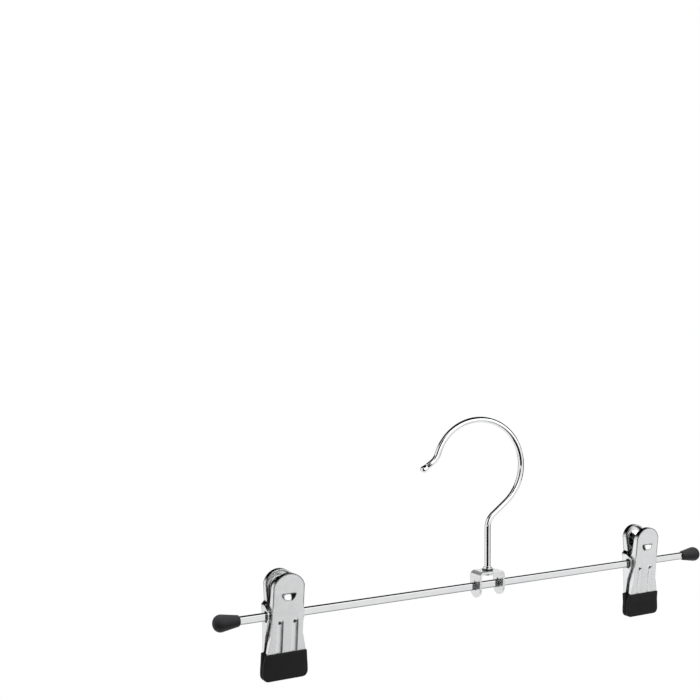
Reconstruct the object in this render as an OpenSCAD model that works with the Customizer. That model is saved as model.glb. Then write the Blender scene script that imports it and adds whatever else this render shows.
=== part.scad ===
// Skirt hanger: a flat steel bar with two spring clips that slide along it, under a swivel hook.
// The origin is on the hook's swivel axis, on the inside of the hook's crown, where a rail bears.
// X runs along the bar, Y from the front to the back, and Z up.

/* [Bar] */
// Length of the flat steel bar
bar_len = 304; // [260:1:420]
// Height of the bar's section
bar_h = 4; // [3.4:0.1:4.6]
// Thickness of the bar's section
bar_t = 2; // [1.6:0.1:2.6]
// Rounding of the bar's long edges
bar_round = 0.8; // [0.1:0.05:0.9]

/* [End caps] */
// Length of a rubber end cap
cap_len = 13; // [12:0.5:18]
// Depth that the bar reaches into a cap
cap_socket = 10; // [6:0.5:10.5]
// Rubber round the bar's corners at a cap's mouth
cap_wall = 0.66; // [0.55:0.01:1.2]
// Extra diameter of a cap at its closed end, over its mouth
cap_swell = 2.8; // [1:0.1:4]
// Radius of the flat spot left on a cap's domed end
cap_flat = 0.4; // [0.1:0.1:2]
// Chamfer round a cap's mouth
cap_chamfer = 0.5; // [0.1:0.05:0.5]

/* [Saddle] */
// Length of the saddle along the bar, over its two legs
saddle_len = 16; // [14:0.5:24]
// Width of the saddle's strip
saddle_w = 8.8; // [8:0.1:12]
// Thickness of the saddle's strip
saddle_t = 1.1; // [0.8:0.1:1.6]
// Free height between the bar and the saddle's top
saddle_room = 4.4; // [2.6:0.1:6]
// Outer radius of the saddle's two bends
saddle_bend = 2.6; // [1.7:0.1:3.4]
// Length of a leg below the bar
leg_drop = 4; // [3:0.1:6]
// Free height above the bar in a leg's slot
slot_lift = 0.9; // [0.1:0.1:1.6]

/* [Hook] */
// Diameter of the hook's wire
wire_d = 3.1; // [2.6:0.1:3.6]
// Radius of the hook's loop, to the middle of the wire
loop_r = 24.8; // [22:0.1:30]
// Distance of the loop's centre from the swivel axis, towards the tip
loop_shift = 5.2; // [2:0.1:7]
// Height of the loop's centre above the saddle
loop_rise = 54.9; // [50:0.1:66]
// Radius of the heel, where the loop turns in towards the neck
heel_r = 25.5; // [16:0.1:27]
// Slope of the wire between the heel and the neck, in degrees above level
neck_slope = 40; // [35:1:50]
// Radius of the bend at the neck
neck_r = 8.5; // [5:0.5:10]
// Radius of the outward bend before the tip
curl_r = 8.6; // [5:0.1:14]
// Angle that the outward bend turns through
curl_turn = 36; // [20:1:50]
// Length of the straight tip beyond its bend, to the middle of the ball
tip_len = 5.6; // [3:0.1:9]
// Extra diameter of the ball on the tip, over the wire
ball_extra = 0.7; // [0.6:0.1:3]
// Angle between the hook's plane and the bar, as the hanger is shown
hook_turn = -10; // [-90:1:90]

/* [Swivel] */
// Reach of the collar's flange beyond its sleeve
flange_reach = 0.75; // [0.4:0.05:1.4]
// Thickness of the collar's flange
flange_h = 1; // [0.6:0.1:1.6]
// Wall of the collar's sleeve
sleeve_wall = 0.6; // [0.4:0.05:1]
// Height of the collar's sleeve above its flange
sleeve_h = 1; // [0.5:0.1:2]
// Reach of the riveted head beyond the wire, under the saddle
head_reach = 1.15; // [0.8:0.05:1.8]
// Thickness of the riveted head
head_h = 1.2; // [0.8:0.1:1.6]

/* [Clips] */
// Distance of the left clip's middle from the left cap's mouth
left_clip_inset = 23; // [12:1:90]
// Distance of the right clip's middle from the right cap's mouth
right_clip_inset = 33; // [12:1:90]
// Thickness of the clips' sheet steel
sheet_t = 0.8; // [0.6:0.05:1]
// Height of a handle above the bar's middle
handle_h = 20.7; // [18:0.1:26]
// Width of a handle
handle_w = 16.1; // [14:0.1:16.5]
// Extra radius of a handle's round top, over half its width
arch_extra = 0.35; // [0.1:0.05:3]
// Width over the outsides of the two handles at their tops
handle_spread = 13.2; // [12:0.1:16]
// Extra width of a jaw where it goes into its rubber pad, over the handle
flare_extra = 3.9; // [3.2:0.1:7]
// Width over the two jaws where they go into their pads
jaw_spread = 5.8; // [5:0.1:7]

/* [Pads] */
// Height of a rubber pad
pad_h = 13.6; // [10:0.1:15]
// Drop of a pad's lower edge below the bar's middle
pad_drop = 30.6; // [29:0.1:34]
// Rubber beside the jaw's edges at a pad's upper edge
pad_side = 0.6; // [0.4:0.05:1.2]
// Extra width of a pad at its widest, over its upper edge
pad_belly = 2.1; // [0.4:0.1:3]
// Thickness of a pad's rubber wall
pad_wall = 0.65; // [0.4:0.05:0.9]
// Rounding of a pad's lower corners
pad_round = 2.8; // [1:0.1:4]

/* [Spring] */
// Width of the spring's strip
spring_w = 10.6; // [9.8:0.1:12]
// Thickness of the spring's strip
spring_t = 0.6; // [0.4:0.05:0.7]
// Distance of the spring's ends below the handles' tops
spring_below = 3.3; // [3:0.1:5]

/* [Hidden] */
$fn = 64;
// Points on each rounded corner of an outline
corner_steps = 6;
// Overrun of every cut, so that no cut ends on a face
overrun = 1;

// Clearances
// Round a fixed piece in its seat
seat_gap = 0.02;
// Between the turning wire and the saddle's hole
swivel_gap = 0.06;
// Between the saddle and the collar above it or the head below it
float_gap = 0.1;
// Between the bar and the sides of the ears' slots, with the clip open
slot_gap = 0.04;
// Above and below the bar in the ears' slots
slot_play = 0.7;
// Between the two handles' rims, with the clip open
squeeze_gap = 0.15;
// Between sheets or pads that pass or face each other
sheet_gap = 0.3;
// Between the spring's ends and the handles
spring_gap = 0.1;
// Between the spring's closed end and the flat bar
key_gap = 0.1;

// Widths that follow from the sizes above
wire_r = wire_d / 2;
ball_d = wire_d + ball_extra;
sleeve_d = wire_d + 2 * sleeve_wall;
flange_d = sleeve_d + 2 * flange_reach;
head_d = wire_d + 2 * head_reach;
bar_corner_r = norm([bar_h / 2 - bar_round, bar_t / 2 - bar_round]) + bar_round;
cap_mouth_d = 2 * (bar_corner_r + cap_wall);
cap_end_d = cap_mouth_d + cap_swell;
cap_round = cap_end_d / 2 - cap_flat;
arch_r = handle_w / 2 + arch_extra;
flare_w = handle_w + flare_extra;
pad_top_w = flare_w + 2 * pad_side;
pad_w = pad_top_w + pad_belly;

// Places along the bar
cap_mouth_x = bar_len / 2 - cap_socket;
left_clip_x = cap_mouth_x - left_clip_inset;
right_clip_x = cap_mouth_x - right_clip_inset;

// Heights, from the rail downwards
loop_z = -sqrt(pow(loop_r - wire_r, 2) - pow(loop_shift, 2));
saddle_top_z = loop_z - loop_rise;
bar_z = saddle_top_z - saddle_t - saddle_room - bar_h / 2;

// The hook's centre line, in its own plane: the loop, heel, slope, neck and stem, and the tip's bend
heel_from = -10;
heel_to = neck_slope - 90;
curl_from = 162;
loop_c = [-loop_shift, loop_z];
heel_c = loop_c + (loop_r - heel_r) * [cos(heel_from), sin(heel_from)];
heel_end = heel_c + heel_r * [cos(heel_to), sin(heel_to)];
bend_z = heel_end.y - heel_end.x * tan(neck_slope);
neck_reach = neck_r * tan((90 - neck_slope) / 2);
neck_c = [neck_r, bend_z - neck_reach];
curl_c = loop_c + (loop_r + curl_r) * [cos(curl_from), sin(curl_from)];
curl_start = curl_from - 180;
curl_end = curl_start - curl_turn;
tip_start = curl_c + curl_r * [cos(curl_end), sin(curl_end)];
tip_end = tip_start + tip_len * [sin(curl_end), -cos(curl_end)];
stem_foot = saddle_top_z - saddle_t - float_gap - head_h;
// Sides of the wire's mesh, and the steps along each of its bends
wire_sides = 20;
neck_steps = 5;
heel_steps = 5;
loop_steps = 26;
curl_steps = 6;

// Angle that each jaw turns through on the bar until the handles' rims meet
open_angle = 11;

// The clip's ears, slotted for the bar so that the jaw can turn on it by the open angle, with round ends
// above and below. The back jaw's ears pass outside the front jaw's
slot_w = bar_t * cos(open_angle) + bar_h * sin(open_angle) + 2 * slot_gap;
slot_h = bar_h + 2 * slot_play;
ear_rim = 1.1;
ear_r = slot_w / 2 + ear_rim;
ear_reach = (slot_h - slot_w) / 2;
ear_tuck = 0.02;
ear_top = 5;
ear_step = 0.1;
ear_gap = 0.6;
front_ear_w = handle_w + 2 * ear_step;
back_ear_w = front_ear_w + 2 * (ear_gap + sheet_t);
// The free edge of an ear's tail, as distances from the middle plane at its start and its end
tail_from_u = 0.3;
tail_to_u = 1.2;
// Height over which a jaw's edge steps out from the handle to the ears
ear_blend = 1.5;
// Height below the bar at which the jaw's edge begins to flare
flare_from = 9;

// The outer face of a jaw, seen from the side, as distances from the middle plane
elbow_room = 1.2;
elbow_u = ear_r + elbow_room + sheet_t;
elbow_z = 0.5;
shoulder_u = jaw_spread / 2;
pad_edge = pad_drop - pad_h;
nose_u = sheet_gap / 2 + pad_wall + sheet_t;
nose_drop = 5.5;
jaw_drop = pad_drop - pad_wall;
face = [
    [handle_spread / 2, handle_h],
    [elbow_u, elbow_z],
    [shoulder_u, -pad_edge],
    [nose_u, -pad_edge - nose_drop],
    [nose_u, -jaw_drop]
];
face_bend = 4;
handle_tilt = atan((face[0].x - elbow_u) / (handle_h - elbow_z));
jaw_tilt = atan((elbow_u - shoulder_u) / (elbow_z + pad_edge));

// The half-moon seat pressed into each handle, a part of a shallow dish below a straight cut
moon_z = 10.85;
moon_r = 3.85;
moon_rise = 0.75;
moon_depth = 1.2;
dish_r = (pow(moon_r, 2) + pow(moon_depth, 2)) / (2 * moon_depth);
// Room round the seat in the spring's window
window_gap = 0.45;

// The two grooves pressed into each jaw, with a deeper dimple at their heads
groove_x = 3.9;
groove_from = 2.8;
groove_w = 3.4;
groove_depth = 0.33;
groove_r = (pow(groove_w / 2, 2) + pow(groove_depth, 2)) / (2 * groove_depth);
groove_len = pad_edge - groove_from + sheet_t;
dimple_r = 1.3;
dimple_depth = 0.75;
// Height below the pad's upper edge of the pad's widest place
pad_bulge = 7;

// The spring: its closed end is keyed on the flat bar, and its legs lean out to the handles
spring_h = handle_h - spring_below;
spring_in_r = bar_t / 2 + key_gap;
spring_out_r = spring_in_r + spring_t;
spring_end_u = face_u(spring_h) - sheet_t - spring_gap;
spring_bend = 3;

// Colours
chrome = [0.78, 0.79, 0.8];
satin = [0.7, 0.71, 0.72];
rubber = [0.06, 0.06, 0.065];

// Distance of a jaw's outer face from the middle plane, at a height above the bar's middle
function face_u(z) = z > elbow_z
    ? elbow_u + (z - elbow_z) * tan(handle_tilt)
    : elbow_u - (elbow_z - z) * tan(jaw_tilt);

function unit(v) = v / norm(v);
function arc(c, r, from, to, steps) = [
    for (i = [0 : steps])
        let (at = from + (to - from) * i / steps)
        c + r * [cos(at), sin(at)]
];

// The corner at b between a and c, rounded with radius r
function corner(a, b, c, r) =
    let (
        u = unit(a - b),
        v = unit(c - b),
        half = acos(max(-1, min(1, u * v))) / 2,
        m = b + unit(u + v) * r / sin(half),
        p = b + u * r / tan(half) - m,
        q = b + v * r / tan(half) - m,
        start = atan2(p.y, p.x),
        raw = atan2(q.y, q.x) - start,
        turn = raw > 180 ? raw - 360 : raw < -180 ? raw + 360 : raw
    )
    arc(m, r, start, start + turn, corner_steps);

// A path with its inner corners rounded, each with the radius at its place in the list
function rounded_path(pts, radii) = [
    for (i = [0 : len(pts) - 1])
        each (i == 0 || i == len(pts) - 1 || radii[i] == 0
            ? [pts[i]]
            : corner(pts[i - 1], pts[i], pts[i + 1], radii[i]))
];
function reversed(pts) = [for (i = [len(pts) - 1 : -1 : 0]) pts[i]];
function mirrored(pts) = concat(pts, [for (p = reversed(pts)) [-p.x, p.y]]);
function shifted(pts, d) = [for (p = pts) [p.x + d, p.y]];

// An outline in the Y-Z plane, extruded along X and centred on x = 0
module along_x(length) {
    rotate([90, 0, 90])
        linear_extrude(height = length, center = true) children();
}

// An outline in the X-Z plane, extruded along Y over the given span
module along_y(from, to) {
    translate([0, to, 0])
        rotate([90, 0, 0])
            linear_extrude(height = to - from) children();
}

module at_bar(x) {
    translate([x, 0, bar_z]) children();
}

// The back of a clip is drawn as it is, and the front is its mirror image
module on_side(side) {
    mirror([0, side < 0 ? 1 : 0, 0]) children();
}

// A rectangle with round corners
module round_box(w, h, r) {
    square([w - 2 * r, h], center = true);
    square([w, h - 2 * r], center = true);
    for (x = [-1, 1], y = [-1, 1])
        translate([x * (w / 2 - r), y * (h / 2 - r)]) circle(r = r);
}

// The bar's section, seen along the bar, with a clearance round it
module bar_section(gap) {
    round_box(bar_t + 2 * gap, bar_h + 2 * gap, bar_round + gap);
}

module bar() {
    color(chrome)
        at_bar(0)
            along_x(bar_len) bar_section(0);
}

// A tapered round cap with a flat socket for the bar
module end_cap(side) {
    end_r = cap_end_d / 2;
    mouth_r = cap_mouth_d / 2;
    outline = concat(
        [[0, 0]],
        arc([end_r - cap_round, cap_round], cap_round, 270, 360, corner_steps),
        [[mouth_r, cap_len - cap_chamfer], [mouth_r - cap_chamfer, cap_len], [0, cap_len]]
    );
    color(rubber)
        at_bar(side * (cap_mouth_x + cap_len))
            difference() {
                rotate([0, -side * 90, 0])
                    rotate_extrude() polygon(outline);
                translate([-side * (cap_mouth_x + cap_len), 0, 0])
                    along_x(bar_len + 2 * seat_gap) bar_section(seat_gap);
            }
}

// Seen from the front: a tall plate whose two upper corners are round
module arch_plate(w, foot, top, r) {
    translate([-w / 2, foot]) square([w, top - r - foot]);
    translate([r - w / 2, foot]) square([w - 2 * r, top - foot]);
    for (s = [-1, 1])
        translate([s * (w / 2 - r), top - r]) circle(r = r);
}

// A strip bent down at both ends, its rounded legs slotted for the bar
module saddle() {
    top = bar_h / 2 + saddle_room + saddle_t;
    foot = -bar_h / 2 - leg_drop;
    round_z = foot + saddle_w / 2;
    color(chrome)
        at_bar(0)
            difference() {
                along_y(-saddle_w / 2, saddle_w / 2)
                    arch_plate(saddle_len, foot, top, saddle_bend);
                along_y(-saddle_w, saddle_w)
                    arch_plate(
                        saddle_len - 2 * saddle_t, foot - overrun, top - saddle_t, saddle_bend - saddle_t
                    );
                along_x(2 * saddle_len)
                    difference() {
                        translate([-saddle_w, foot - overrun])
                            square([2 * saddle_w, round_z - foot + overrun]);
                        translate([0, round_z]) circle(d = saddle_w);
                    }
                translate([-saddle_len, -bar_t / 2 - seat_gap, -bar_h / 2 - seat_gap])
                    cube([2 * saddle_len, bar_t + 2 * seat_gap, bar_h + seat_gap + slot_lift]);
                translate([0, 0, top - saddle_t - overrun])
                    cylinder(r = wire_r + swivel_gap, h = saddle_t + 2 * overrun);
            }
}

// The hook's plane stands on the swivel axis, turned from the bar
module in_hook_plane() {
    rotate([0, 0, hook_turn])
        rotate([90, 0, 0]) children();
}

// Places along an arc of the wire, each a point and the direction across the wire there
function bend(c, r, from, to, steps, side) = [
    for (i = [0 : steps])
        let (at = from + (to - from) * i / steps, out = [cos(at), sin(at)])
        [c + r * out, side * out]
];

// The wire from its foot, by the neck, heel, loop and outward bend, to the end of the tip
wire_path = concat(
    [[[0, stem_foot], [-1, 0]]],
    bend(neck_c, neck_r, 180, 90 + neck_slope, neck_steps, 1),
    bend(heel_c, heel_r, heel_to, heel_from, heel_steps, -1),
    bend(loop_c, loop_r, heel_from, curl_from, loop_steps, -1),
    bend(curl_c, curl_r, curl_start, curl_end, curl_steps, 1),
    [[tip_end, [cos(curl_end), sin(curl_end)]]]
);

// The rings of points round the wire, without the repeated ones where two arcs meet
wire_rings = [
    for (i = [0 : len(wire_path) - 1])
        if (i == 0 || norm(wire_path[i][0] - wire_path[i - 1][0]) > wire_r / wire_sides)
            wire_path[i]
];

// One wire from its riveted head under the saddle to its turned-out tip
module hook_wire() {
    rings = len(wire_rings);
    points = [
        for (ring = wire_rings, k = [0 : wire_sides - 1])
            let (a = 360 * k / wire_sides, flat = ring[0] + wire_r * cos(a) * ring[1])
            [flat.x, flat.y, wire_r * sin(a)]
    ];
    sides = [
        for (i = [0 : rings - 2], k = [0 : wire_sides - 1])
            let (m = i * wire_sides, n = (k + 1) % wire_sides)
            [m + k, m + wire_sides + k, m + wire_sides + n, m + n]
    ];
    ends = [
        [for (k = [0 : wire_sides - 1]) k],
        [for (k = [wire_sides - 1 : -1 : 0]) (rings - 1) * wire_sides + k]
    ];
    color(chrome) {
        in_hook_plane() polyhedron(points, concat(sides, ends));
        translate([0, 0, stem_foot])
            cylinder(d = head_d, h = head_h);
    }
}

// The ball fixed on the hook's tip
module hook_tip() {
    color(chrome)
        in_hook_plane()
            difference() {
                translate([tip_end.x, tip_end.y, 0])
                    sphere(d = ball_d);
                translate([tip_start.x, tip_start.y, 0])
                    rotate([90, 0, curl_end])
                        cylinder(r = wire_r + seat_gap, h = tip_len + seat_gap);
            }
}

// The flanged ring fixed on the stem, which rides on the saddle
module swivel_collar() {
    color(chrome)
        translate([0, 0, saddle_top_z + float_gap])
            difference() {
                union() {
                    cylinder(d = flange_d, h = flange_h);
                    cylinder(d = sleeve_d, h = flange_h + sleeve_h);
                }
                translate([0, 0, -overrun])
                    cylinder(r = wire_r, h = flange_h + sleeve_h + 2 * overrun);
            }
}

// Seen from the front: a jaw's outline, from the top of its round handle to its lower end, or the room
// inside its walls
module jaw_outline(ear_w, inset) {
    arch_z = handle_h - arch_r;
    side = handle_w / 2 - inset;
    intersection() {
        translate([0, arch_z]) circle(r = arch_r - inset);
        translate([-side, arch_z - overrun]) square([2 * side, handle_h]);
    }
    polygon(mirrored([
        [side, arch_z],
        [side, ear_top + ear_blend],
        [ear_w / 2 - inset, ear_top],
        [ear_w / 2 - inset, -flare_from],
        [flare_w / 2 - inset, -pad_edge],
        [flare_w / 2 - inset, -jaw_drop - inset]
    ]));
}

// A jaw's bent sheet, without its walls
module jaw_sheet(ear_w) {
    path = rounded_path(face, [0, face_bend, face_bend, face_bend, 0]);
    intersection() {
        along_x(2 * flare_w) polygon(concat(path, reversed(shifted(path, -sheet_t))));
        along_y(-overrun, handle_spread) jaw_outline(ear_w, 0);
    }
}

// Where a line from a point touches the round end of an ear, on either side, and tucked a little into it
function on_ear(from, end_z, side) =
    let (
        reach = [from.x, from.y - end_z],
        at = atan2(reach.y, reach.x) + side * acos(ear_r / norm(reach))
    )
    [(ear_r - ear_tuck) * cos(at), end_z + (ear_r - ear_tuck) * sin(at)];

// Distance from the middle plane of a handle's rim, at a height above the bar's middle
function rim_u(z) = z * tan(open_angle) + squeeze_gap;

// The walls round a jaw's edge: the rim of its handle, the two ears on the bar, and their tails, which
// follow the jaw's edges to the pad
module walls(ear_w) {
    inset = sheet_t / 2;
    top = handle_h + overrun;
    foot = [rim_u(ear_top), ear_top];
    waist = [tail_from_u, -flare_from];
    intersection() {
        along_x(2 * flare_w) {
            polygon([
                [face_u(top) - inset, top],
                [rim_u(top), top],
                foot,
                on_ear(foot, ear_reach, 1),
                on_ear(waist, -ear_reach, -1),
                waist,
                [tail_to_u, -pad_edge],
                [shoulder_u - inset, -pad_edge],
                [elbow_u - inset, elbow_z]
            ]);
            square([2 * ear_r, 2 * ear_reach], center = true);
            for (end_z = [-ear_reach, ear_reach])
                translate([0, end_z]) circle(r = ear_r);
        }
        along_y(-handle_spread, handle_spread)
            difference() {
                jaw_outline(ear_w, 0);
                jaw_outline(ear_w, sheet_t);
            }
    }
}

// Things on a jaw's outer face: x across, y out of the face and z up along it
module on_face(x, z, tilt) {
    translate([x, face_u(z), z])
        rotate([-tilt, 0, 0]) children();
}

// The half-moon dish of the given radius, cut off straight at its top
module moon(r, inner) {
    on_face(0, moon_z, handle_tilt)
        intersection() {
            translate([0, dish_r - moon_depth, moon_rise])
                sphere(r = r);
            translate([-moon_r - sheet_t, -moon_depth - sheet_t - overrun, -moon_r - sheet_t])
                cube([
                    2 * (moon_r + sheet_t),
                    moon_depth + sheet_t + overrun + (inner ? -sheet_t / 2 : overrun),
                    moon_r + sheet_t
                ]);
        }
}

// A groove's hollow, or the ridge that it raises on the inner face
module groove(r, inner) {
    for (s = [-1, 1])
        on_face(s * groove_x, -groove_from, jaw_tilt)
            intersection() {
                translate([0, groove_r - groove_depth, 0]) {
                    translate([0, 0, -groove_len])
                        cylinder(r = r, h = groove_len);
                    sphere(r = r);
                }
                translate([-r, -groove_depth - sheet_t - overrun, -groove_len])
                    cube([
                        2 * r,
                        groove_depth + sheet_t + overrun + (inner ? -sheet_t / 2 : overrun),
                        groove_len + r
                    ]);
            }
}

module dimples() {
    for (s = [-1, 1])
        on_face(s * groove_x, -groove_from, jaw_tilt)
            translate([0, dimple_r - dimple_depth, 0])
                sphere(r = dimple_r);
}

// A jaw with its handle, walls, spring seat and grooves, drawn for the back of a clip
module jaw_shape(ear_w) {
    difference() {
        union() {
            jaw_sheet(ear_w);
            walls(ear_w);
            moon(dish_r + sheet_t, true);
            groove(groove_r + sheet_t, true);
        }
        along_x(2 * ear_w) round_box(slot_w, slot_h, bar_round);
        moon(dish_r, false);
        groove(groove_r, false);
        dimples();
    }
}

module jaw(x, side) {
    color(satin)
        at_bar(x)
            on_side(side)
                jaw_shape(side < 0 ? front_ear_w : back_ear_w);
}

// A rubber pad, fitted over the lower end of its jaw
module pad(x, side) {
    lower = [
        [shoulder_u, -pad_edge],
        [nose_u, -pad_edge - nose_drop],
        [nose_u, -pad_drop]
    ];
    path = rounded_path(lower, [0, face_bend, 0]);
    side_edge = [
        [pad_top_w / 2, -pad_edge],
        [pad_w / 2, -pad_edge - pad_bulge],
        [pad_w / 2, -pad_drop],
        [0, -pad_drop]
    ];
    color(rubber)
        at_bar(x)
            on_side(side)
                difference() {
                    intersection() {
                        along_x(2 * pad_w)
                            polygon(concat(
                                shifted(path, pad_wall),
                                reversed(shifted(path, -sheet_t - pad_wall))
                            ));
                        along_y(-overrun, handle_spread)
                            polygon(mirrored(rounded_path(side_edge, [0, 0, pad_round, 0])));
                    }
                    jaw_shape(side < 0 ? front_ear_w : back_ear_w);
                }
}

// The spring: a strip folded round the bar, with round ends at the handles and windows for the seats
module spring(x) {
    fold_z = -bar_h / 2;
    leg = rounded_path(
        [[spring_out_r, fold_z], [spring_out_r, bar_h / 2], [spring_end_u, spring_h]],
        [0, spring_bend, 0]
    );
    half = concat(
        arc([0, fold_z], spring_out_r, 270, 360, 2 * corner_steps),
        leg,
        reversed(shifted(leg, -spring_t)),
        arc([0, fold_z], spring_in_r, 360, 270, 2 * corner_steps)
    );
    end_z = spring_h - spring_w / 2;
    window_foot = moon_z + moon_rise - moon_r - sheet_t - window_gap;
    window_w = 2 * (moon_r + window_gap);
    color(chrome)
        at_bar(x)
            difference() {
                intersection() {
                    for (side = [-1, 1])
                        on_side(side)
                            along_x(spring_w) polygon(half);
                    along_y(-handle_spread, handle_spread) {
                        translate([0, end_z]) circle(d = spring_w);
                        translate([-spring_w / 2 - overrun, -handle_h])
                            square([spring_w + 2 * overrun, handle_h + end_z]);
                    }
                }
                translate([-window_w / 2, -handle_spread, window_foot])
                    cube([window_w, 2 * handle_spread, moon_z + window_gap - window_foot]);
            }
}

hook_wire();
hook_tip();
swivel_collar();
saddle();
bar();
end_cap(-1);  // left_end_cap
end_cap(1);  // right_end_cap
spring(-left_clip_x);  // left_spring
jaw(-left_clip_x, -1);  // left_front_jaw
jaw(-left_clip_x, 1);  // left_back_jaw
pad(-left_clip_x, -1);  // left_front_pad
pad(-left_clip_x, 1);  // left_back_pad
spring(right_clip_x);  // right_spring
jaw(right_clip_x, -1);  // right_front_jaw
jaw(right_clip_x, 1);  // right_back_jaw
pad(right_clip_x, -1);  // right_front_pad
pad(right_clip_x, 1);  // right_back_pad
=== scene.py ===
# %% [markdown]
# # A skirt hanger in chrome, satin steel and rubber
#
# The object is a flat chromed bar under a swivel wire hook, with two spring clips that slide along it.
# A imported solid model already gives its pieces, places and joints. This lesson lights it, makes the rounded
# pieces again with softer forms than the solids have, and gives every piece a finish made of nodes.

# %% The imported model
from math import asin, atan2, cos, pi, radians, sin, sqrt, tan

import bmesh
import bpy
from mathutils import Matrix, Vector


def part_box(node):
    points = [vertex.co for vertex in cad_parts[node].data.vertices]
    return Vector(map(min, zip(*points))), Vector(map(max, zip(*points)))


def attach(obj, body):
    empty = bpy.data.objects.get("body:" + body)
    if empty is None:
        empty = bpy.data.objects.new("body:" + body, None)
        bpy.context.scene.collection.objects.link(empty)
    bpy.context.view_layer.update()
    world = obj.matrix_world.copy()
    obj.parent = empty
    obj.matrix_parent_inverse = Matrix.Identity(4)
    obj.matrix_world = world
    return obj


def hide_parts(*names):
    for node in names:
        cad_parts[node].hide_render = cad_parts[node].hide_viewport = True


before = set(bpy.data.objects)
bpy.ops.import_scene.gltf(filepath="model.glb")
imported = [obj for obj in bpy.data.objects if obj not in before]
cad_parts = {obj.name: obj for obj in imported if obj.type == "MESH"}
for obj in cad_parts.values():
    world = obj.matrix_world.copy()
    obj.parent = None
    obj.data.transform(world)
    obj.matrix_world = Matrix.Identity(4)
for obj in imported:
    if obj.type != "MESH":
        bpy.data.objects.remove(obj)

MM = 0.001
for leftover in ("Cube", "Light", "Camera"):
    if leftover in bpy.data.objects:
        bpy.data.objects.remove(bpy.data.objects[leftover])
scene = bpy.context.scene
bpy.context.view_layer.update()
bar_low, bar_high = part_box("bar")
bar_z = (bar_low[2] + bar_high[2]) / 2

# %% [markdown]
# ## The camera
#
# A photograph fixes the camera by what it shows: the near left clip is drawn about a third larger than the
# far right one, and the bar falls away to the right. A camera found by trial could match one of the two.
# This one was fitted to the ends of the bar, the clips' tops and the hook together, so its place, its turn
# and its focal length agree with all of them, and it looks level to within two degrees.

# %% Camera
CAMERA_PLACE = Vector((-337.1 * MM, -453.8 * MM, 52.8 * MM))
CAMERA_DOWN = radians(1.45)
CAMERA_TURN = radians(-29.23)
SENSOR = 36
FOCAL_LENGTH = 54.93
camera_data = bpy.data.cameras.new("camera")
camera_data.sensor_width = SENSOR
camera_data.lens = FOCAL_LENGTH
camera = bpy.data.objects.new("camera", camera_data)
camera.location = CAMERA_PLACE
camera.rotation_euler = (pi / 2 - CAMERA_DOWN, 0, CAMERA_TURN)
scene.collection.objects.link(camera)
scene.camera = camera
print("camera", round(CAMERA_PLACE.length, 3), "m from the rail")

# %% [markdown]
# ## The light
#
# Polished metal shows the room, so the room is the light here. The world is white wherever a camera ray or a
# reflection looks, and dim for the light that falls on matt surfaces, so that black rubber stays black.
# Three large soft lamps add the rest, and hide from reflections, where they would draw bright patches.

# %% World
MATT_LIGHT = 0.1
world = bpy.data.worlds.new("white_room")
world.use_nodes = True
scene.world = world
room = world.node_tree
room.nodes.clear()
path = room.nodes.new("ShaderNodeLightPath")
seen = room.nodes.new("ShaderNodeMath")
seen.operation = "MAXIMUM"
seen_or_through = room.nodes.new("ShaderNodeMath")
seen_or_through.operation = "MAXIMUM"
level = room.nodes.new("ShaderNodeMapRange")
level.inputs["To Min"].default_value = MATT_LIGHT
level.inputs["To Max"].default_value = 1.0
background = room.nodes.new("ShaderNodeBackground")
background.inputs["Color"].default_value = (1, 1, 1, 1)
room_output = room.nodes.new("ShaderNodeOutputWorld")
room.links.new(path.outputs["Is Camera Ray"], seen.inputs[0])
room.links.new(path.outputs["Is Glossy Ray"], seen.inputs[1])
room.links.new(seen.outputs[0], seen_or_through.inputs[0])
room.links.new(path.outputs["Is Transmission Ray"], seen_or_through.inputs[1])
room.links.new(seen_or_through.outputs[0], level.inputs["Value"])
room.links.new(level.outputs["Result"], background.inputs["Strength"])
room.links.new(background.outputs["Background"], room_output.inputs["Surface"])
print("white room, matt light", MATT_LIGHT)

# %% Lamps
MIDDLE = Vector((0, 0, bar_z))


def soft_lamp(name, place, width, power):
    lamp_data = bpy.data.lights.new(name, "AREA")
    lamp_data.shape = "DISK"
    lamp_data.size = width
    lamp_data.energy = power
    lamp = bpy.data.objects.new(name, lamp_data)
    lamp.location = place
    lamp.rotation_euler = (MIDDLE - Vector(place)).to_track_quat("-Z", "Y").to_euler()
    lamp.visible_glossy = False
    lamp.visible_camera = False
    scene.collection.objects.link(lamp)
    print(name, "at", [round(c, 2) for c in place])


soft_lamp("key_lamp", place=(-0.9, -0.7, 0.6), width=0.8, power=3.5)
soft_lamp("fill_lamp", place=(0.9, -0.8, 0.1), width=0.8, power=2.0)
soft_lamp("top_lamp", place=(0.0, 0.1, 1.0), width=1.0, power=30.0)

# %% [markdown]
# ## Cards for the reflections
#
# In a room that is white all round, chrome turns into flat grey. Photographers stand black cards beside
# bright metal, out of the picture, and their reflections draw its edges and the dark core of a round wire.
# One bright card, to the right of the camera, does the opposite: it lights up the hollows of the clips.
# Three grey ones stand where the clips' fronts look, so that the pressed grooves in them show light on one
# side and dark on the other. Each card is one edge spun about an axis through the object. Only reflections
# see it: it casts no shadow, so the matt surfaces keep their soft light.

# %% Cards
VIEW_TURN = atan2(-CAMERA_PLACE.y, -CAMERA_PLACE.x)
CARD_STEPS = 16
NEAR_CARD = 1.2
FAR_CARD = 1.6
BRIGHT_CARD = 1.1
ROOF_R = 1.8
ROOF_W = 6
ROOF_FROM = radians(19)
ROOF_TURN = radians(100)


def card_paint(name, glow):
    paint = bpy.data.materials.new(name)
    paint.use_nodes = True
    shader = paint.node_tree.nodes["Principled BSDF"]
    shader.inputs["Base Color"].default_value = (0.012, 0.012, 0.012, 1)
    shader.inputs["Roughness"].default_value = 1
    shader.inputs["Specular IOR Level"].default_value = 0
    shader.inputs["Emission Color"].default_value = (1, 1, 1, 1)
    shader.inputs["Emission Strength"].default_value = glow
    return paint


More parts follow.
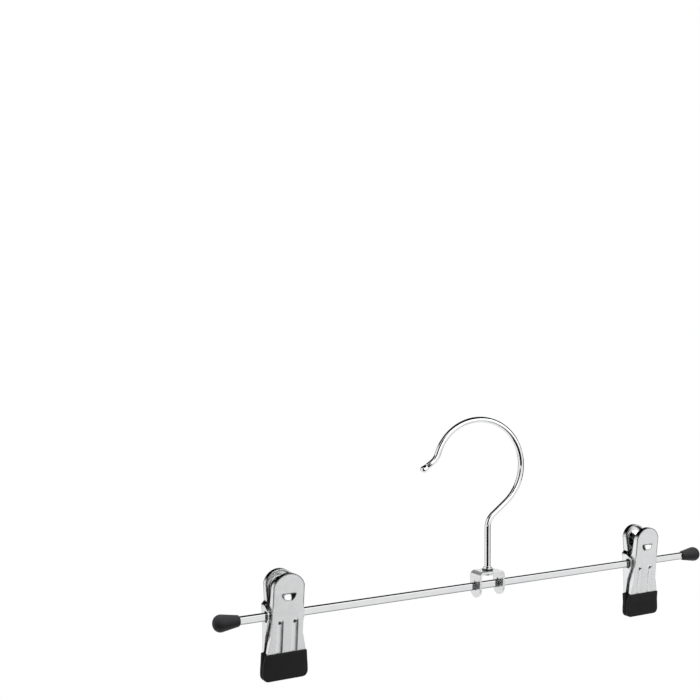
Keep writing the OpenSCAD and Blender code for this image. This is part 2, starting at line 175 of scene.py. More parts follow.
BLACK = card_paint("card_black", 0)
BRIGHT = card_paint("card_bright", 1.9)
PALE_GREY = card_paint("card_pale_grey", 0.8)
DIM_GREY = card_paint("card_dim_grey", 0.7)
MID_GREY = card_paint("card_mid_grey", 0.4)


def card(name, edge, axis, turn, paint):
    bm = bmesh.new()
    ends = [bm.verts.new(MIDDLE + Vector(point)) for point in edge]
    side = bm.edges.new(ends)
    bmesh.ops.spin(
        bm, geom=ends + [side], cent=MIDDLE, axis=axis, dvec=(0, 0, 0), angle=turn, steps=CARD_STEPS
    )
    mesh = bpy.data.meshes.new(name)
    bm.to_mesh(mesh)
    bm.free()
    mesh.materials.append(paint)
    made = bpy.data.objects.new(name, mesh)
    for kind in ("camera", "diffuse", "transmission", "shadow", "volume_scatter"):
        setattr(made, "visible_" + kind, False)
    scene.collection.objects.link(made)
    print(name, len(mesh.polygons), "faces")


def upright_card(name, distance, start, end, foot, top, paint=BLACK):
    """Stands from one angle to another, in degrees left of the way that the camera looks."""
    turn = VIEW_TURN + radians(start)
    way = Vector((cos(turn), sin(turn), 0)) * distance
    edge = [way + Vector((0, 0, foot)), way + Vector((0, 0, top))]
    card(name, edge, (0, 0, 1), radians(end - start), paint)


upright_card("camera_card", NEAR_CARD, 141, 219, -1.5, -0.08)
upright_card("mid_card", NEAR_CARD, -141, -126, -1.5, -0.42, MID_GREY)
upright_card("pale_card", NEAR_CARD, -126, -112, -1.5, -0.42, PALE_GREY)
upright_card("right_pale_card", NEAR_CARD, -112, -84, -1.5, -0.34, DIM_GREY)
upright_card("far_right_card", FAR_CARD, -85, -56, 0.15, 1.6)
upright_card("behind_card", NEAR_CARD, 137, 185, 0, 1.1)
upright_card("left_card", FAR_CARD, 12, 60, -0.52, 0.43)
upright_card("right_card", FAR_CARD, -60, -12, -0.52, -0.02)
upright_card("right_upper_card", FAR_CARD, -38, -14, 0, 1.3)
upright_card("low_right_card", FAR_CARD, -85, -60, -0.45, 0.1)
upright_card("bright_card", BRIGHT_CARD, -170, -90, 0.1, 1.1, BRIGHT)
ahead = Vector((cos(VIEW_TURN), sin(VIEW_TURN), 0))
beside = Vector((0, 0, 1)).cross(ahead)
low = (ahead * cos(ROOF_FROM) + Vector((0, 0, sin(ROOF_FROM)))) * ROOF_R
card("roof_card", [low - beside * ROOF_W / 2, low + beside * ROOF_W / 2], beside, -ROOF_TURN, BLACK)

# %% [markdown]
# ## The floor
#
# The hanger hangs in the air, in front of white. A pale disc well below it, out of the camera's sight,
# catches its soft shadow in other views. Its colour runs out towards its rim through a mask on its own
# coordinates, so no edge shows where it ends.

# %% Floor
FLOOR_Z = -0.30
FLOOR_R = 0.42
FULL_R = 0.2
floor_paint = bpy.data.materials.new("pale_floor")
floor_paint.use_nodes = True
paint = floor_paint.node_tree
paint_shader = paint.nodes["Principled BSDF"]
paint_shader.inputs["Base Color"].default_value = (0.86, 0.86, 0.86, 1)
paint_shader.inputs["Roughness"].default_value = 0.9
paint_shader.inputs["Specular IOR Level"].default_value = 0.1
floor_place = paint.nodes.new("ShaderNodeTexCoord")
floor_reach = paint.nodes.new("ShaderNodeVectorMath")
floor_reach.operation = "LENGTH"
floor_fade = paint.nodes.new("ShaderNodeMapRange")
floor_fade.interpolation_type = "SMOOTHSTEP"
floor_fade.inputs["From Min"].default_value = FULL_R
floor_fade.inputs["From Max"].default_value = FLOOR_R
floor_fade.inputs["To Min"].default_value = 1
floor_fade.inputs["To Max"].default_value = 0
paint.links.new(floor_place.outputs["Object"], floor_reach.inputs[0])
paint.links.new(floor_reach.outputs["Value"], floor_fade.inputs["Value"])
paint.links.new(floor_fade.outputs["Result"], paint_shader.inputs["Alpha"])
floor_shape = bmesh.new()
bmesh.ops.create_circle(floor_shape, cap_ends=True, radius=FLOOR_R, segments=96)
floor_mesh = bpy.data.meshes.new("floor")
floor_shape.to_mesh(floor_mesh)
floor_shape.free()
floor_mesh.materials.append(floor_paint)
floor = bpy.data.objects.new("floor", floor_mesh)
floor.location = (0, 0, FLOOR_Z)
floor.visible_glossy = False
scene.collection.objects.link(floor)
print("floor", FLOOR_Z, "m")

# %% [markdown]
# ## Helpers for the new pieces
#
# Each new piece is a bmesh until it is done. One helper then merges its doubles, points its faces outwards,
# smooths them and hands it to the body that it rides on, with the solid that it stands for.

# %% Finished pieces
made_pieces = {}
DOUBLE = 0.002 * MM
CLOSE = 0.01 * MM


def finish_piece(name, bm, body, slot, *nodes):
    bmesh.ops.remove_doubles(bm, verts=bm.verts, dist=DOUBLE)
    bmesh.ops.recalc_face_normals(bm, faces=bm.faces)
    for face in bm.faces:
        face.smooth = True
    mesh = bpy.data.meshes.new(name)
    bm.to_mesh(mesh)
    bm.free()
    made = bpy.data.objects.new(name, mesh)
    scene.collection.objects.link(made)
    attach(made, body)
    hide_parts(*nodes)
    made_pieces[name] = made
    print(name, len(mesh.polygons), "faces")


def round_edges(bm, edges, radius, steps=4):
    bmesh.ops.bevel(
        bm, geom=edges, offset=radius, offset_type="OFFSET", segments=steps, profile=0.5,
        affect="EDGES", material=-1, clamp_overlap=True,
    )


def new_edges(result, key="geom"):
    return [part for part in result[key] if isinstance(part, bmesh.types.BMEdge)]


# %% [markdown]
# ## The hook
#
# The real hook is one length of wire: riveted under the saddle, straight up through the collar, and then
# bent four times. A curve with a bevel would follow the same path, but here the bends are what matters, so
# the wire is made as a bender makes it: a ring is pulled straight, turned about a bend's centre, and pulled
# again.

# %% Sizes of the hook
WIRE_R = 1.55 * MM
LOOP_R = 24.8 * MM
LOOP_SHIFT = 5.2 * MM
HEEL_R = 25.5 * MM
NECK_R = 8.5 * MM
CURL_R = 8.6 * MM
NECK_SLOPE = radians(40)
HEEL_TURN = radians(40)
LOOP_TURN = radians(172)
CURL_TURN = radians(36)
TIP_LEN = 5.6 * MM
HOOK_TURN = radians(-10)
RIVET_R = WIRE_R + 1.15 * MM
RIVET_H = 1.2 * MM
RIVET_ROUND = 0.3 * MM
WIRE_SIDES = 32
SUPPORT = 0.2 * MM
TURN_STEP = radians(4)


def ray(angle):
    return Vector((cos(angle), 0, sin(angle)))


heel_from = NECK_SLOPE - pi / 2
loop_from = heel_from + HEEL_TURN
curl_from = loop_from + LOOP_TURN
loop_centre = Vector((-LOOP_SHIFT, 0, -sqrt((LOOP_R - WIRE_R) ** 2 - LOOP_SHIFT**2)))
heel_centre = loop_centre + (LOOP_R - HEEL_R) * ray(loop_from)
heel_start = heel_centre + HEEL_R * ray(heel_from)
curl_centre = loop_centre + (LOOP_R + CURL_R) * ray(curl_from)
tip_turn = curl_from - pi - CURL_TURN
tip_way = ray(tip_turn - pi / 2)
tip_end = curl_centre + CURL_R * ray(tip_turn) + TIP_LEN * tip_way
bend_z = heel_start.z - heel_start.x * tan(NECK_SLOPE)
neck_centre = Vector((NECK_R, 0, bend_z - NECK_R * tan((pi / 2 - NECK_SLOPE) / 2)))
neck_end = neck_centre + NECK_R * ray(pi / 2 + NECK_SLOPE)
foot_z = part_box("hook_wire")[0][2]
print("loop centre", [round(c, 4) for c in loop_centre], "tip", [round(c, 4) for c in tip_end])

# %% The wire


def pull(bm, ring, way):
    drawn = bmesh.ops.extrude_edge_only(bm, edges=ring)
    verts = [part for part in drawn["geom"] if isinstance(part, bmesh.types.BMVert)]
    bmesh.ops.translate(bm, verts=verts, vec=way)
    return [edge for edge in new_edges(drawn) if edge.verts[0] in verts and edge.verts[1] in verts]


def turn_wire(bm, ring, centre, angle):
    verts = list({vert for edge in ring for vert in edge.verts})
    steps = round(abs(angle) / TURN_STEP)
    turned = bmesh.ops.spin(
        bm, geom=verts + ring, cent=centre, axis=(0, 1, 0), dvec=(0, 0, 0), angle=angle, steps=steps
    )
    return new_edges(turned, "geom_last")


def resize_ring(ring, share):
    verts = list({vert for edge in ring for vert in edge.verts})
    middle = sum((vert.co for vert in verts), Vector()) / len(verts)
    for vert in verts:
        vert.co = middle + (vert.co - middle) * share


wire = bmesh.new()
bmesh.ops.create_circle(wire, cap_ends=True, radius=RIVET_R, segments=WIRE_SIDES)
bmesh.ops.translate(wire, verts=wire.verts, vec=(0, 0, foot_z))
foot_ring = wire.edges[:]
head_ring = pull(wire, foot_ring, (0, 0, RIVET_H))
stem_ring = pull(wire, head_ring, (0, 0, 0))
resize_ring(stem_ring, WIRE_R / RIVET_R)
stem_start = pull(wire, stem_ring, (0, 0, SUPPORT))
ring = pull(wire, stem_start, (0, 0, neck_centre.z - foot_z - RIVET_H - SUPPORT))
ring = turn_wire(wire, ring, neck_centre, pi / 2 - NECK_SLOPE)
ring = pull(wire, ring, heel_start - neck_end)
ring = turn_wire(wire, ring, heel_centre, -HEEL_TURN)
ring = turn_wire(wire, ring, loop_centre, -LOOP_TURN)
ring = turn_wire(wire, ring, curl_centre, CURL_TURN)
ring = pull(wire, ring, TIP_LEN * tip_way)
bmesh.ops.edgeloop_fill(wire, edges=ring)
round_edges(wire, foot_ring + head_ring, RIVET_ROUND)
swung = Matrix.Rotation(HOOK_TURN, 3, "Z")
bmesh.ops.rotate(wire, verts=wire.verts, cent=(0, 0, 0), matrix=swung)
finish_piece("bent_wire", wire, "hook", "chrome", "hook_wire")

# %% [markdown]
# ## The ball on the tip
#
# A ball closes the wire's end, so that it slides over cloth without a snag. On the real hook it is pressed
# from the wire, with a short fillet behind it. A sphere alone would meet the wire in a hard ring, so a half
# outline with that fillet is spun about the wire's own line.

# %% Ball
BALL_R = WIRE_R + 0.35 * MM
FILLET = 0.35 * MM
BALL_STEPS = 20
SKIN = 0.02 * MM


def lathe(points, centre, axis, steps=48):
    bm = bmesh.new()
    verts = [bm.verts.new(point) for point in points]
    edges = [bm.edges.new(pair) for pair in zip(verts, verts[1:])]
    bmesh.ops.spin(
        bm, geom=verts + edges, cent=centre, axis=axis, dvec=(0, 0, 0), angle=2 * pi, steps=steps,
        use_merge=True,
    )
    return bm


outward = ray(tip_turn)
ball_angle = pi - asin((WIRE_R + FILLET / 2) / BALL_R)
ball_line = []
for step in range(BALL_STEPS + 1):
    angle = ball_angle * step / BALL_STEPS
    ball_line.append(tip_end + BALL_R * (cos(angle) * tip_way + sin(angle) * outward))
for back, over in ((BALL_R * 0.8, FILLET / 4), (BALL_R, SKIN)):
    ball_line.append(tip_end - back * tip_way + (WIRE_R + over) * outward)
ball = lathe(ball_line, tip_end, tip_way)
bmesh.ops.rotate(ball, verts=ball.verts, cent=(0, 0, 0), matrix=swung)
finish_piece("tip_ball", ball, "hook", "chrome", "hook_tip")

# %% [markdown]
# ## The end caps
#
# Each cap is soft rubber, moulded over a pin and pushed on the bar. It swells from a chamfered mouth to a
# domed end. Its outline is turned about the bar's line, and the rim of the mouth gets a small bevel.

# %% End caps
CAP_LEN = 13 * MM
CAP_SOCKET = 10 * MM
CAP_MOUTH_R = 2.68 * MM
CAP_END_R = 4.08 * MM
CAP_FLAT = 0.4 * MM
CAP_CHAMFER = 0.5 * MM
MOUTH_ROUND = 0.2 * MM
CAP_TAPER = radians(9)
DOME_STEPS = 14


def on_ring(vert, along, radius):
    """Tells whether a vertex lies on a ring about the bar's line."""
    reach = sqrt(vert.co.y**2 + (vert.co.z - bar_z) ** 2)
    return abs(abs(vert.co.x) - along) < CLOSE and abs(reach - radius) < CLOSE


def end_cap(name, side, node):
    mouth = bar_high[0] - CAP_SOCKET
    dome_r = CAP_END_R - CAP_FLAT

    def at(along, radius):
        return Vector((side * (mouth + along), 0, bar_z + radius))

    def on_dome(angle):
        return at(CAP_LEN - dome_r + dome_r * sin(angle), CAP_FLAT + dome_r * cos(angle))

    dome_turn = pi / 2 + CAP_TAPER
    dome = [on_dome(dome_turn * step / DOME_STEPS - CAP_TAPER) for step in range(DOME_STEPS + 1)]
    chamfer = [at(0, 0), at(0, CAP_MOUTH_R - CAP_CHAMFER), at(CAP_CHAMFER, CAP_MOUTH_R)]
    cap = lathe(chamfer + dome + [at(CAP_LEN, 0)], MIDDLE, (1, 0, 0))
    bmesh.ops.remove_doubles(cap, verts=cap.verts, dist=CLOSE)

    rings = ((mouth, CAP_MOUTH_R - CAP_CHAMFER), (mouth + CAP_CHAMFER, CAP_MOUTH_R))
    rim = [
        edge for edge in cap.edges
        if any(all(on_ring(vert, *ring) for vert in edge.verts) for ring in rings)
    ]
    round_edges(cap, rim, MOUTH_ROUND, 3)
    finish_piece(name, cap, "frame", "black_rubber", node)


end_cap("left_cap", -1, "left_end_cap")
end_cap("right_cap", 1, "right_end_cap")

# %% [markdown]
# ## The rubber pads
#
# A pad is a thick rubber sleeve, pushed over the lower end of each jaw. Its outline is one face with its
# corners rounded. That face is pulled to the sleeve's thickness and cut across where it bends. The part
# above each cut is turned a little more, as the real one follows the bent steel.

# %% Pads
PAD_H = 13.6 * MM
PAD_DROP = 30.6 * MM
PAD_TOP_W = 21.2 * MM
PAD_W = 23.3 * MM
PAD_BULGE = 7 * MM
PAD_ROUND = 2.8 * MM
BULGE_ROUND = 2.5 * MM
PAD_EDGE = 0.45 * MM
PAD_THICK = 2.1 * MM
PAD_GAP = 0.15 * MM
NOSE_DROP = 5.5 * MM
LEAN = radians(13.3)
SHARP_ANGLE = radians(40)
BENDS = 5
BEND_H = 1.8 * MM


def pad_outline(x, foot):
    """One face with rounded corners, as the sleeve looks from the front."""
    top = foot + PAD_H
    bulge = top - PAD_BULGE
    corners = [
        (-PAD_TOP_W / 2, top), (-PAD_W / 2, bulge), (-PAD_W / 2, foot),
        (PAD_W / 2, foot), (PAD_W / 2, bulge), (PAD_TOP_W / 2, top),
    ]
    bm = bmesh.new()
    verts = [bm.verts.new((x + across, PAD_GAP, height)) for across, height in corners]
    bm.faces.new(verts)
    for radius, picked in ((PAD_ROUND, (verts[2], verts[3])), (BULGE_ROUND, (verts[1], verts[4]))):
        bmesh.ops.bevel(
            bm, geom=list(picked), offset=radius, offset_type="OFFSET", segments=7, profile=0.5,
            affect="VERTICES", material=-1,
        )
    return bm


def lean_top(bm, x, bend_foot):
    """Cuts the sleeve across a few times, and turns what is above each cut."""
    cuts = [bend_foot + BEND_H * step / (BENDS - 1) for step in range(BENDS)]
    for cut in cuts:
        bmesh.ops.bisect_plane(
            bm, geom=bm.verts[:] + bm.edges[:] + bm.faces[:], plane_co=(0, 0, cut), plane_no=(0, 0, 1)
        )
    for cut in cuts:
        bmesh.ops.rotate(
            bm,
            verts=[vert for vert in bm.verts if vert.co.z > cut + CLOSE],
            cent=(x, PAD_GAP, cut),
            matrix=Matrix.Rotation(-LEAN / BENDS, 3, "X"),
        )


def pad(name, node, body, side):
    low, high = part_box(node)
    x = (low[0] + high[0]) / 2
    foot = bar_z - PAD_DROP
    bm = pad_outline(x, foot)
    pulled = bmesh.ops.extrude_face_region(bm, geom=bm.faces[:])
    moved = [part for part in pulled["geom"] if isinstance(part, bmesh.types.BMVert)]
    bmesh.ops.translate(bm, verts=moved, vec=(0, PAD_THICK, 0))
    sharp = [edge for edge in bm.edges if edge.calc_face_angle(0) > SHARP_ANGLE]
    round_edges(bm, sharp, PAD_EDGE)
    lean_top(bm, x, foot + PAD_H - NOSE_DROP - BEND_H / 2)
    if side < 0:
        bmesh.ops.mirror(
            bm, geom=bm.verts[:] + bm.edges[:] + bm.faces[:], axis="Y", merge_dist=-1
        )
        bmesh.ops.delete(bm, geom=[vert for vert in bm.verts if vert.co.y > 0], context="VERTS")
    finish_piece(name, bm, body, "black_rubber", node)


for clip in ("left", "right"):
    for part, side in (("front", -1), ("back", 1)):
        pad(f"{clip}_{part}_rubber", f"{clip}_{part}_pad", f"{clip}_{part}", side)

# %% [markdown]
# ## Effects that the finishes share
#
# Four effects come back in several finishes, so each is a node group with its own inputs: cloudy patches
# that change how rough a surface is, fine drawn lines, a fine grain, and soft edges that catch the light.

# %% Group helper


def new_group(name, inputs, outputs):
    group = bpy.data.node_groups.new(name, "ShaderNodeTree")
    for label, start in inputs:
        socket = group.interface.new_socket(label, in_out="INPUT", socket_type="NodeSocketFloat")
        socket.default_value = start
    for label, kind in outputs:
        group.interface.new_socket(label, in_out="OUTPUT", socket_type=kind)
    return group, group.nodes.new("NodeGroupInput"), group.nodes.new("NodeGroupOutput")


# %% Cloudy patches
clouds, given, result = new_group(
    "cloudy", [("Size", 60.0), ("Low", 0.1), ("High", 0.2)], [("Value", "NodeSocketFloat")]
)
place = clouds.nodes.new("ShaderNodeTexCoord")
puffs = clouds.nodes.new("ShaderNodeTexNoise")
puffs.inputs["Detail"].default_value = 3
contrast = clouds.nodes.new("ShaderNodeMapRange")
contrast.inputs["From Min"].default_value = 0.35
contrast.inputs["From Max"].default_value = 0.65
clouds.links.new(place.outputs["Object"], puffs.inputs["Vector"])
clouds.links.new(given.outputs["Size"], puffs.inputs["Scale"])
clouds.links.new(puffs.outputs["Fac"], contrast.inputs["Value"])
clouds.links.new(given.outputs["Low"], contrast.inputs["To Min"])
clouds.links.new(given.outputs["High"], contrast.inputs["To Max"])
clouds.links.new(contrast.outputs["Result"], result.inputs["Value"])
print("group", clouds.name)

# %% Drawn lines
drawn, given, result = new_group(
    "drawn_lines",
    [("Along X", 6.0), ("Along Y", 600.0), ("Along Z", 600.0)],
    [("Height", "NodeSocketFloat")],
)
place = drawn.nodes.new("ShaderNodeTexCoord")
stretch = drawn.nodes.new("ShaderNodeVectorMath")
stretch.operation = "MULTIPLY"
scales = drawn.nodes.new("ShaderNodeCombineXYZ")
streaks = drawn.nodes.new("ShaderNodeTexNoise")
streaks.inputs["Scale"].default_value = 1
streaks.inputs["Detail"].default_value = 4
for axis in "XYZ":
    drawn.links.new(given.outputs["Along " + axis], scales.inputs[axis])
drawn.links.new(place.outputs["Object"], stretch.inputs[0])
drawn.links.new(scales.outputs["Vector"], stretch.inputs[1])
drawn.links.new(stretch.outputs["Vector"], streaks.inputs["Vector"])
drawn.links.new(streaks.outputs["Fac"], result.inputs["Height"])
print("group", drawn.name)

# %% Grain
grain, given, result = new_group("grain", [("Size", 2500.0)], [("Height", "NodeSocketFloat")])
place = grain.nodes.new("ShaderNodeTexCoord")
specks = grain.nodes.new("ShaderNodeTexNoise")
specks.inputs["Detail"].default_value = 2
specks.inputs["Roughness"].default_value = 0.6
grain.links.new(place.outputs["Object"], specks.inputs["Vector"])
grain.links.new(given.outputs["Size"], specks.inputs["Scale"])
grain.links.new(specks.outputs["Fac"], result.inputs["Height"])
print("group", grain.name)

# %% Soft edges
soft_edges, given, result = new_group(
    "soft_edges",
    [("Radius", 0.3 * MM), ("Wear", 4.0)],
    [("Normal", "NodeSocketVector"), ("Mask", "NodeSocketFloat")],
)
rounded = soft_edges.nodes.new("ShaderNodeBevel")
rounded.samples = 6
surface = soft_edges.nodes.new("ShaderNodeNewGeometry")
likeness = soft_edges.nodes.new("ShaderNodeVectorMath")
likeness.operation = "DOT_PRODUCT"
unlike = soft_edges.nodes.new("ShaderNodeMath")
unlike.operation = "SUBTRACT"
unlike.inputs[0].default_value = 1
edge_mask = soft_edges.nodes.new("ShaderNodeMath")
edge_mask.operation = "MULTIPLY"
edge_mask.use_clamp = True
soft_edges.links.new(given.outputs["Radius"], rounded.inputs["Radius"])
soft_edges.links.new(rounded.outputs["Normal"], likeness.inputs[0])
soft_edges.links.new(surface.outputs["Normal"], likeness.inputs[1])
soft_edges.links.new(likeness.outputs["Value"], unlike.inputs[1])
soft_edges.links.new(unlike.outputs[0], edge_mask.inputs[0])
soft_edges.links.new(given.outputs["Wear"], edge_mask.inputs[1])
soft_edges.links.new(rounded.outputs["Normal"], result.inputs["Normal"])
soft_edges.links.new(edge_mask.outputs[0], result.inputs["Mask"])
print("group", soft_edges.name)

# %% [markdown]
# ## The finishes
#
# The metals differ by how they were made: wire and strip are polished and chromed, the clips' sheet is only
# satin, and the springs are bright strip. A plain colour with one roughness would look like paint, so each
# metal gets cloudy patches, the fine lines of its rolling and edges that catch the light.

# %% Finish helper


def use_group(tree, group, **values):
    node = tree.nodes.new("ShaderNodeGroup")
    node.node_tree = group
    for label, value in values.items():
        node.inputs[label.replace("_", " ")].default_value = value
    return node


def new_finish(name, metallic):
    finish = bpy.data.materials.new(name)
    finish.use_nodes = True
    shader = finish.node_tree.nodes["Principled BSDF"]
    shader.inputs["Metallic"].default_value = metallic
    return finish, finish.node_tree, shader


def tint(tree, shader, mask, plain, marked):
    blend = tree.nodes.new("ShaderNodeMix")
    blend.data_type = "RGBA"
    blend.inputs["A"].default_value = (*plain, 1)
    blend.inputs["B"].default_value = (*marked, 1)
    tree.links.new(mask, blend.inputs["Factor"])
    tree.links.new(blend.outputs["Result"], shader.inputs["Base Color"])


def bump(tree, shader, height, strength, depth, normal=None):
    relief = tree.nodes.new("ShaderNodeBump")
    relief.inputs["Strength"].default_value = strength
    relief.inputs["Distance"].default_value = depth
    tree.links.new(height, relief.inputs["Height"])
    if normal:
        tree.links.new(normal, relief.inputs["Normal"])
    tree.links.new(relief.outputs["Normal"], shader.inputs["Normal"])


# %% Metals
TINT_PATCH_SHARE = 1.7
LINE_STRENGTH = 0.25


def metal(name, plain, marked, rough, patch, lines, depth, edge_radius, metallic=1):
    finish, tree, shader = new_finish(name, metallic)
    cloudy = use_group(tree, clouds, Size=patch, Low=rough[0], High=rough[1])
    tree.links.new(cloudy.outputs["Value"], shader.inputs["Roughness"])
    patches = use_group(tree, clouds, Size=patch * TINT_PATCH_SHARE, Low=0, High=1)
    tint(tree, shader, patches.outputs["Value"], plain, marked)
    rolled = use_group(tree, drawn, Along_X=lines[0], Along_Y=lines[1], Along_Z=lines[2])
    soft = use_group(tree, soft_edges, Radius=edge_radius)
    bump(tree, shader, rolled.outputs["Height"], LINE_STRENGTH, depth, soft.outputs["Normal"])
    print("finish", name)
    return finish


WIRE_CHROME = metal(
    "wire_chrome", plain=(0.84, 0.845, 0.85), marked=(0.80, 0.805, 0.815), rough=(0.05, 0.09),
    patch=120, lines=(900, 900, 900), depth=0.002 * MM, edge_radius=0.12 * MM,
)
COLLAR_CHROME = metal(
    "collar_chrome", plain=(0.84, 0.845, 0.85), marked=(0.80, 0.805, 0.815), rough=(0.06, 0.1),
    patch=200, lines=(900, 900, 900), depth=0.002 * MM, edge_radius=0.12 * MM,
)
STRIP_CHROME = metal(
    "strip_chrome", plain=(0.75, 0.755, 0.76), marked=(0.72, 0.725, 0.735), rough=(0.06, 0.11),
    patch=90, lines=(8, 1500, 1500), depth=0.004 * MM, edge_radius=0.2 * MM,
)
SADDLE_CHROME = metal(
    "saddle_chrome", plain=(0.80, 0.805, 0.81), marked=(0.78, 0.785, 0.795), rough=(0.2, 0.28),
    patch=150, lines=(900, 900, 900), depth=0.004 * MM, edge_radius=0.3 * MM, metallic=0.82,
)
CLIP_STEEL = metal(
    "clip_satin_steel", plain=(0.86, 0.865, 0.87), marked=(0.82, 0.825, 0.835), rough=(0.26, 0.34),
    patch=160, lines=(1800, 1800, 60), depth=0.006 * MM, edge_radius=0.33 * MM,
)
SPRING_STEEL = metal(
    "bright_spring_steel", plain=(0.84, 0.845, 0.85), marked=(0.80, 0.805, 0.815), rough=(0.04, 0.08),
    patch=200, lines=(1500, 1500, 30), depth=0.001 * MM, edge_radius=0.12 * MM,
)

# %% [markdown]
# ## Painted dark edges
#
# A dark line is painted on the bar's upper edge, on the arches of the clips and in the ring under the collar:
# painted dark reflections on the bar and the arches, and painted shade with a dark reflection in the ring.
# They could be thin strips of mesh, but those would stand off the metal. Each is a mask instead, from the way
# that a surface faces and its height on the piece, and it darkens the metal's colour there.

# %% Mask helpers


def coordinate(tree, kind, axis):
    """One part of the piece's own normal or place."""
    place = tree.nodes.new("ShaderNodeTexCoord")
    parts = tree.nodes.new("ShaderNodeSeparateXYZ")
    tree.links.new(place.outputs[kind], parts.inputs["Vector"])
    return parts.outputs[axis]


def maths(tree, operation, first, second=None):
    """One sum of a socket and a second socket or number."""
    node = tree.nodes.new("ShaderNodeMath")
    node.operation = operation
    tree.links.new(first, node.inputs[0])
    if isinstance(second, (int, float)):
        node.inputs[1].default_value = second
    elif second:
        tree.links.new(second, node.inputs[1])
    return node.outputs[0]


def ramp(tree, value, none, full):
    """A mask that goes from 0 to 1 between two values."""
    node = tree.nodes.new("ShaderNodeMapRange")
    node.inputs["From Min"].default_value = none
    node.inputs["From Max"].default_value = full
    tree.links.new(value, node.inputs["Value"])
    return node.outputs["Result"]


def facing(tree, axis, none, full):
    """A mask that is 1 where the piece's own surface faces along one of its axes."""
    return ramp(tree, maths(tree, "ABSOLUTE", coordinate(tree, "Normal", axis)), none, full)


def at_height(tree, none, full):
    """A mask that goes from 0 to 1 between two heights on the piece."""
    return ramp(tree, coordinate(tree, "Object", "Z"), none, full)


def near_point(tree, across, point, none, full):
    """A mask that goes from 0 to 1 between two distances from a point, seen from the front."""
    flat = tree.nodes.new("ShaderNodeCombineXYZ")
    tree.links.new(across, flat.inputs["X"])
    tree.links.new(coordinate(tree, "Object", "Z"), flat.inputs["Z"])
    distance = tree.nodes.new("ShaderNodeVectorMath")
    distance.operation = "DISTANCE"
    distance.inputs[1].default_value = point
    tree.links.new(flat.outputs["Vector"], distance.inputs[0])
    return ramp(tree, distance.outputs["Value"], none, full)


def darken(finish, dark, *masks):
    """Darkens a finish's base colour where all the masks are 1."""
    tree = finish.node_tree
    shader = tree.nodes["Principled BSDF"]
    mask = masks[0]
    for other in masks[1:]:
        mask = maths(tree, "MULTIPLY", mask, other)
    blend = tree.nodes.new("ShaderNodeMix")
    blend.data_type = "RGBA"
    blend.inputs["B"].default_value = (dark, dark, dark, 1)
    tree.links.new(mask, blend.inputs["Factor"])
    tree.links.new(shader.inputs["Base Color"].links[0].from_socket, blend.inputs["A"])
    tree.links.new(blend.outputs["Result"], shader.inputs["Base Color"])


# %% Painted dark edges
PAINTED_DARK = 0.05
LINE_R = 1.0 * MM
PAINTED_RIM_GAIN = 25
ARCH_FROM = bar_z + 3 * MM
ARCH_FULL = bar_z + 6 * MM
flange_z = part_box("swivel_collar")[0][2]
RING_FROM = flange_z + 1.1 * MM
RING_FULL = flange_z + 0.8 * MM

# Painted dark reflection on the bar: its colour is darkened where its surface faces up or down.
darken(STRIP_CHROME, PAINTED_DARK, facing(STRIP_CHROME.node_tree, "Z", 0.25, 0.6))
# Painted dark reflection on the clips' arches: the rim line and the upward faces above the bar are darkened.
clip_tree = CLIP_STEEL.node_tree
rim_line = use_group(clip_tree, soft_edges, Radius=LINE_R, Wear=PAINTED_RIM_GAIN)
rim = maths(clip_tree, "MAXIMUM", rim_line.outputs["Mask"], facing(clip_tree, "Z", 0.35, 0.6))
darken(CLIP_STEEL, PAINTED_DARK, rim, at_height(clip_tree, ARCH_FROM, ARCH_FULL))
# Painted shade and dark reflection in a ring on the side of the collar's lowest millimetre, its flange.
collar_tree = COLLAR_CHROME.node_tree
upright = ramp(collar_tree, facing(collar_tree, "Z", 0.3, 0.6), 1, 0)
darken(COLLAR_CHROME, PAINTED_DARK, upright, at_height(collar_tree, RING_FROM, RING_FULL))
print("dark edges from", round(ARCH_FROM, 4), "m up")

# %% [markdown]
# ## Dark ends in the pressings
#
# In the picture, what is pressed into a clip is dark at its deep end: the inner end of each half-moon,
# towards the hanger's middle, and the dimple at the head of each groove. No card gives so small a dark
# reflection in satin steel, so the finish itself darkens them, by masks that are distances in the clip. The
# two clips share one finish, so the distances start from the middle between them, which suits both.

# %% Half-moons and dimples
MOON_R = 3.8 * MM
MOON_RISE = 10.85 * MM
MOON_DARK = 0.01
END_FROM = 1.0 * MM
END_FULL = 1.7 * MM
GROOVE_X = 3.9 * MM
DIMPLE_DROP = 3.0 * MM
DIMPLE_R = 0.75 * MM
BLUR = 0.15 * MM

moon_z = bar_z + MOON_RISE
dimple_z = bar_z - DIMPLE_DROP
clip_places = [sum(corner[0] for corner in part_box(clip + "_spring")) / 2 for clip in ("left", "right")]
between = sum(clip_places) / 2
clip_reach = clip_places[1] - between
from_middle = maths(clip_tree, "SUBTRACT", coordinate(clip_tree, "Object", "X"), between)
from_middle = maths(clip_tree, "ABSOLUTE", from_middle)
inner_end = ramp(clip_tree, from_middle, clip_reach - END_FROM, clip_reach - END_FULL)
moon = near_point(clip_tree, from_middle, (clip_reach, 0, moon_z), MOON_R + BLUR, MOON_R - BLUR)
under_top = at_height(clip_tree, moon_z, moon_z - 2 * BLUR)
darken(CLIP_STEEL, MOON_DARK, inner_end, moon, under_top)
off_clip = maths(clip_tree, "SUBTRACT", from_middle, clip_reach)
off_clip = maths(clip_tree, "ABSOLUTE", off_clip)
dimple = near_point(clip_tree, off_clip, (GROOVE_X, 0, dimple_z), DIMPLE_R + BLUR, DIMPLE_R - BLUR)
darken(CLIP_STEEL, PAINTED_DARK, dimple)
print("clips at", [round(x, 3) for x in clip_places])

# %% [markdown]
# ## Rubber
#
# Rubber is nearly black, and only its roughness tells it from plastic: a faint cloudy bloom, a fine skin and
# slightly paler edges where it rubs. The caps are smoother than the pads, which are moulded to grip.

# %% Rubber
BLOOM_SIZE = 220
SKIN_STRENGTH = 0.5


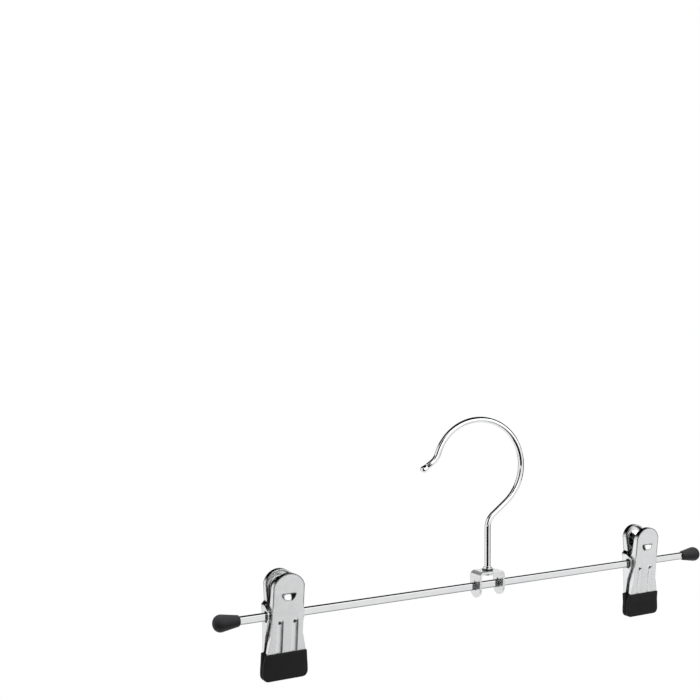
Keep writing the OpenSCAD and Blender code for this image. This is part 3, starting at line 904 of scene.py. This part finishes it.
def rubber(name, plain, worn_edge, gloss, rough, size, depth, edge_radius):
    finish, tree, shader = new_finish(name, 0)
    shader.inputs["Specular IOR Level"].default_value = gloss
    cloudy = use_group(tree, clouds, Size=BLOOM_SIZE, Low=rough[0], High=rough[1])
    tree.links.new(cloudy.outputs["Value"], shader.inputs["Roughness"])
    soft = use_group(tree, soft_edges, Radius=edge_radius, Wear=3)
    tint(tree, shader, soft.outputs["Mask"], plain, worn_edge)
    skin = use_group(tree, grain, Size=size)
    bump(tree, shader, skin.outputs["Height"], SKIN_STRENGTH, depth, soft.outputs["Normal"])
    print("finish", name)
    return finish


CAP_RUBBER = rubber(
    "cap_rubber", plain=(0.03, 0.0295, 0.032), worn_edge=(0.04, 0.039, 0.042), gloss=0.08,
    rough=(0.36, 0.44), size=1800, depth=0.02 * MM, edge_radius=0.2 * MM,
)
PAD_RUBBER = rubber(
    "pad_rubber", plain=(0.017, 0.0168, 0.0175), worn_edge=(0.03, 0.03, 0.031), gloss=0.12,
    rough=(0.55, 0.65), size=2200, depth=0.03 * MM, edge_radius=0.2 * MM,
)

# %% Every piece gets its finish
FINISHES = {
    "bent_wire": WIRE_CHROME,
    "tip_ball": WIRE_CHROME,
    "swivel_collar": COLLAR_CHROME,
    "saddle": SADDLE_CHROME,
    "bar": STRIP_CHROME,
    "left_cap": CAP_RUBBER,
    "right_cap": CAP_RUBBER,
}
for clip in ("left", "right"):
    FINISHES[clip + "_spring"] = SPRING_STEEL
    for part in ("front", "back"):
        FINISHES[f"{clip}_{part}_jaw"] = CLIP_STEEL
        FINISHES[f"{clip}_{part}_rubber"] = PAD_RUBBER
for name, finish in FINISHES.items():
    dressed = made_pieces.get(name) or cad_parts[name]
    dressed.data.materials.clear()
    dressed.data.materials.append(finish)
print(len(FINISHES), "pieces finished")

# %% [markdown]
# ## Last lines
#
# The view transform is plain, so a colour shows as it is written.

# %% View transform
scene.view_settings.view_transform = "Standard"
